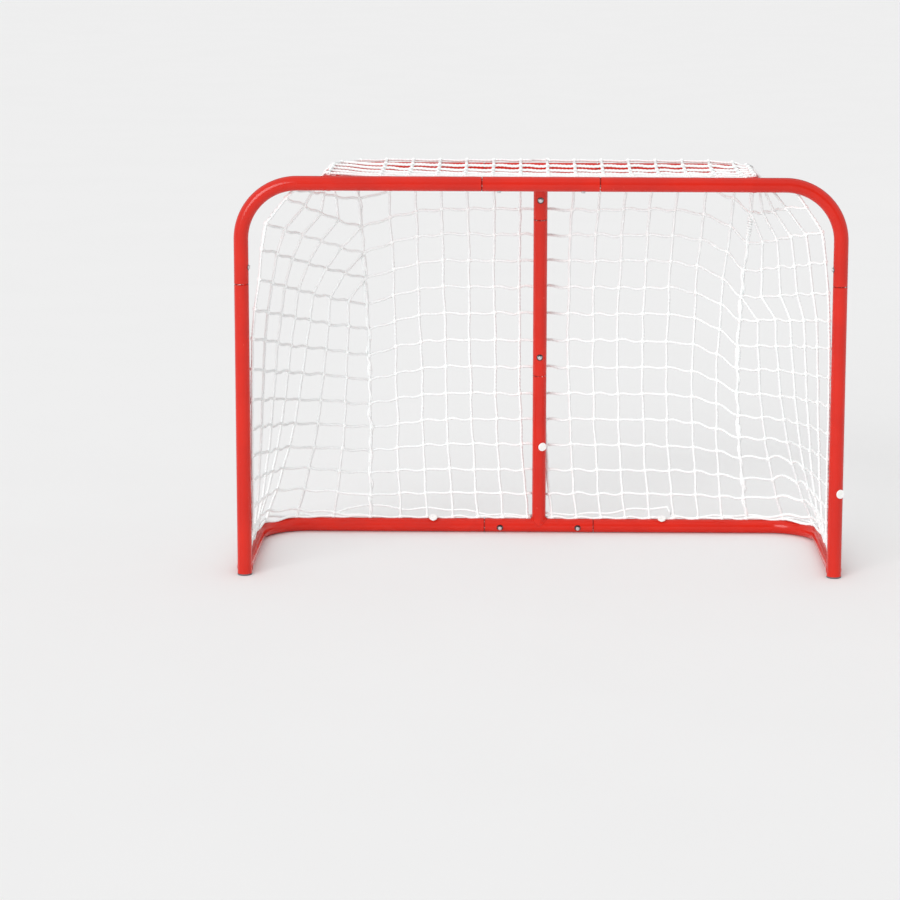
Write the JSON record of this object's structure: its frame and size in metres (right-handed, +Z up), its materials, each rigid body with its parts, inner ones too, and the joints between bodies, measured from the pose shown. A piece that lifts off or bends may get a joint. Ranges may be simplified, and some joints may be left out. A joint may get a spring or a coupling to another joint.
{
  "type": "hockey goal net",
  "caption": "Mini hockey goal: a round-cornered steel tube frame that plugs together with snap buttons, with a top shelf, a centre strut and a knotted net.",
  "frame": {"origin": "on the floor under the middle of the goal", "axes": "+Z up, the mouth faces -Y, +X to the right of someone who looks into the mouth"},
  "size_m": [0.9184, 0.3159, 0.6107],
  "materials": {
    "tube": "gloss red paint",
    "cap": "dark grey",
    "button": "bright zinc",
    "spring": "spring steel",
    "net": "white braided cord",
    "peg": "white nylon"
  },
  "bodies": {
    "frame": {"crossbar_centre": "tube", "corner_left": "tube", "corner_right": "tube", "post_left": "tube", "post_right": "tube", "base_corner_left": "tube", "base_corner_right": "tube", "base_tee": "tube", "centre_strut": "tube", "shelf_tee": "tube", "shelf_arm_left": "tube", "shelf_arm_right": "tube", "foot_cap_left": "cap", "foot_cap_right": "cap", "spring_crossbar_left": "spring", "spring_crossbar_right": "spring", "spring_post_left": "spring", "spring_post_right": "spring", "spring_rail_left": "spring", "spring_rail_right": "spring", "spring_base_left": "spring", "spring_base_right": "spring", "spring_strut_top": "spring", "spring_strut_middle": "spring", "spring_arm_left": "spring", "spring_arm_right": "spring", "spring_shelf_left": "spring", "spring_shelf_right": "spring", "net_back": "net", "net_top": "net", "net_side_left": "net", "net_side_right": "net", "net_pegs_crossbar": "peg", "net_pegs_post_left": "peg", "net_pegs_post_right": "peg", "net_peg_strut": "peg", "net_pegs_base": "peg"},
    "button_crossbar_left": {"button_crossbar_left": "button"},
    "button_crossbar_right": {"button_crossbar_right": "button"},
    "button_post_left": {"button_post_left": "button"},
    "button_post_right": {"button_post_right": "button"},
    "button_rail_left": {"button_rail_left": "button"},
    "button_rail_right": {"button_rail_right": "button"},
    "button_base_left": {"button_base_left": "button"},
    "button_base_right": {"button_base_right": "button"},
    "button_strut_top": {"button_strut_top": "button"},
    "button_strut_middle": {"button_strut_middle": "button"},
    "button_arm_left": {"button_arm_left": "button"},
    "button_arm_right": {"button_arm_right": "button"},
    "button_shelf_left": {"button_shelf_left": "button"},
    "button_shelf_right": {"button_shelf_right": "button"}
  },
  "joints": [
    {"name": "press_crossbar_left", "type": "slide", "parent": "frame", "child": "button_crossbar_left", "axis": [0, 0, 1], "range_m": [0, 0.004], "stiffness_N_per_m": 300, "springref_m": -0.0005, "deforming": ["spring_crossbar_left"]},
    {"name": "press_crossbar_right", "type": "slide", "parent": "frame", "child": "button_crossbar_right", "axis": [0, 0, 1], "range_m": [0, 0.004], "stiffness_N_per_m": 300, "springref_m": -0.0005, "deforming": ["spring_crossbar_right"]},
    {"name": "press_post_left", "type": "slide", "parent": "frame", "child": "button_post_left", "axis": [-1, 0, 0], "range_m": [0, 0.004], "stiffness_N_per_m": 300, "springref_m": -0.0005, "deforming": ["spring_post_left"]},
    {"name": "press_post_right", "type": "slide", "parent": "frame", "child": "button_post_right", "axis": [1, 0, 0], "range_m": [0, 0.004], "stiffness_N_per_m": 300, "springref_m": -0.0005, "deforming": ["spring_post_right"]},
    {"name": "press_rail_left", "type": "slide", "parent": "frame", "child": "button_rail_left", "axis": [1, 0, 0], "range_m": [0, 0.004], "stiffness_N_per_m": 300, "springref_m": -0.0005, "deforming": ["spring_rail_left"]},
    {"name": "press_rail_right", "type": "slide", "parent": "frame", "child": "button_rail_right", "axis": [-1, 0, 0], "range_m": [0, 0.004], "stiffness_N_per_m": 300, "springref_m": -0.0005, "deforming": ["spring_rail_right"]},
    {"name": "press_base_left", "type": "slide", "parent": "frame", "child": "button_base_left", "axis": [0, 0.9659, 0.2588], "range_m": [0, 0.004], "stiffness_N_per_m": 300, "springref_m": -0.0005, "deforming": ["spring_base_left"]},
    {"name": "press_base_right", "type": "slide", "parent": "frame", "child": "button_base_right", "axis": [0, 0.9659, 0.2588], "range_m": [0, 0.004], "stiffness_N_per_m": 300, "springref_m": -0.0005, "deforming": ["spring_base_right"]},
    {"name": "press_strut_top", "type": "slide", "parent": "frame", "child": "button_strut_top", "axis": [0, 0.9896, 0.1438], "range_m": [0, 0.004], "stiffness_N_per_m": 300, "springref_m": -0.0005, "deforming": ["spring_strut_top"]},
    {"name": "press_strut_middle", "type": "slide", "parent": "frame", "child": "button_strut_middle", "axis": [0, 0.9896, 0.1438], "range_m": [0, 0.004], "stiffness_N_per_m": 300, "springref_m": -0.0005, "deforming": ["spring_strut_middle"]},
    {"name": "press_arm_left", "type": "slide", "parent": "frame", "child": "button_arm_left", "axis": [0, 0, 1], "range_m": [0, 0.004], "stiffness_N_per_m": 300, "springref_m": -0.0005, "deforming": ["spring_arm_left"]},
    {"name": "press_arm_right", "type": "slide", "parent": "frame", "child": "button_arm_right", "axis": [0, 0, 1], "range_m": [0, 0.004], "stiffness_N_per_m": 300, "springref_m": -0.0005, "deforming": ["spring_arm_right"]},
    {"name": "press_shelf_left", "type": "slide", "parent": "frame", "child": "button_shelf_left", "axis": [0, 0, 1], "range_m": [0, 0.004], "stiffness_N_per_m": 300, "springref_m": -0.0005, "deforming": ["spring_shelf_left"]},
    {"name": "press_shelf_right", "type": "slide", "parent": "frame", "child": "button_shelf_right", "axis": [0, 0, 1], "range_m": [0, 0.004], "stiffness_N_per_m": 300, "springref_m": -0.0005, "deforming": ["spring_shelf_right"]}
  ]
}
